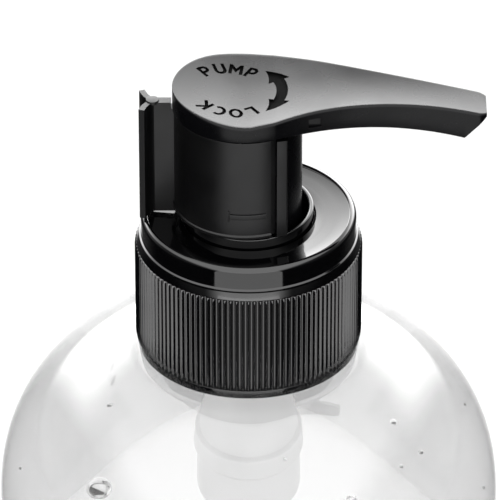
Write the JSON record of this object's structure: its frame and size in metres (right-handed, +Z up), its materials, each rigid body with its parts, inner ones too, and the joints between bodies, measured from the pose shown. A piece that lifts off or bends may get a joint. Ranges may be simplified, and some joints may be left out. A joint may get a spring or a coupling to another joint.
{
  "type": "soap pump dispenser",
  "caption": "Clear round bottle with a black ribbed screw collar and a lotion pump: curved spout head, removable C-shaped lock clip and sprung plunger.",
  "frame": {"origin": "centre of the bottle's foot, on the surface it stands on", "axes": "+Z up along the bottle and pump, +X along the spout at rest, the clip's finger pull along -X"},
  "size_m": [0.074, 0.074, 0.1691],
  "materials": {
    "clear_pet": "clear blown PET, glossy",
    "black_pp": "black moulded polypropylene, satin",
    "black_gloss": "black polished polypropylene",
    "black_clip": "black moulded polypropylene, satin",
    "milky_pp": "natural translucent polypropylene",
    "milky_pe": "natural polyethylene, waxy",
    "gasket_foam": "white foamed polyethylene",
    "steel": "bright stainless steel"
  },
  "bodies": {
    "bottle": {"bottle": "clear_pet"},
    "engine": {"chaplet": "black_gloss", "housing": "milky_pp", "neck_gasket": "gasket_foam", "dip_tube": "milky_pp", "return_spring": "steel"},
    "collar": {"collar": "black_pp"},
    "inlet_ball": {"inlet_ball": "steel"},
    "clip": {"lock_clip": "black_clip"},
    "piston": {"piston": "milky_pe"},
    "rod": {"piston_rod": "milky_pe"},
    "head": {"actuator_head": "black_pp", "stem": "milky_pp"}
  },
  "joints": [
    {"name": "pump_lift", "type": "slide", "parent": "bottle", "child": "engine", "axis": [0, 0, 1], "range_m": [0, 0.0064]},
    {"name": "collar_turn", "type": "hinge", "parent": "engine", "child": "collar", "pos_m": [0, 0, 0.13], "axis": [0, 0, 1], "range_deg": [0, 540]},
    {"name": "inlet_ball_lift", "type": "slide", "parent": "engine", "child": "inlet_ball", "axis": [0, 0, 1], "range_m": [0, 0.0012]},
    {"name": "clip_pull", "type": "slide", "parent": "engine", "child": "clip", "axis": [-1, 0, 0], "range_m": [0, 0.0335], "deforming": ["lock_clip"]},
    {"name": "pump_press", "type": "slide", "parent": "engine", "child": "piston", "axis": [0, 0, -1], "range_m": [0, 0.0152], "stiffness_N_per_m": 500, "springref_m": -0.01, "deforming": ["return_spring"]},
    {"name": "valve_slip", "type": "slide", "parent": "piston", "child": "rod", "axis": [0, 0, -1], "range_m": [0, 0.0008], "stiffness_N_per_m": 500, "springref_m": -0.01},
    {"name": "head_turn", "type": "hinge", "parent": "rod", "child": "head", "pos_m": [0, 0, 0.16], "axis": [0, 0, 1], "range_deg": [0, 90]}
  ],
  "couplings": [
    {"joint": "pump_lift", "follows": "collar_turn", "m_per_rad": 0.00067323},
    {"joint": "clip_pull", "follows": "pump_press", "ratio": 2.2}
  ]
}
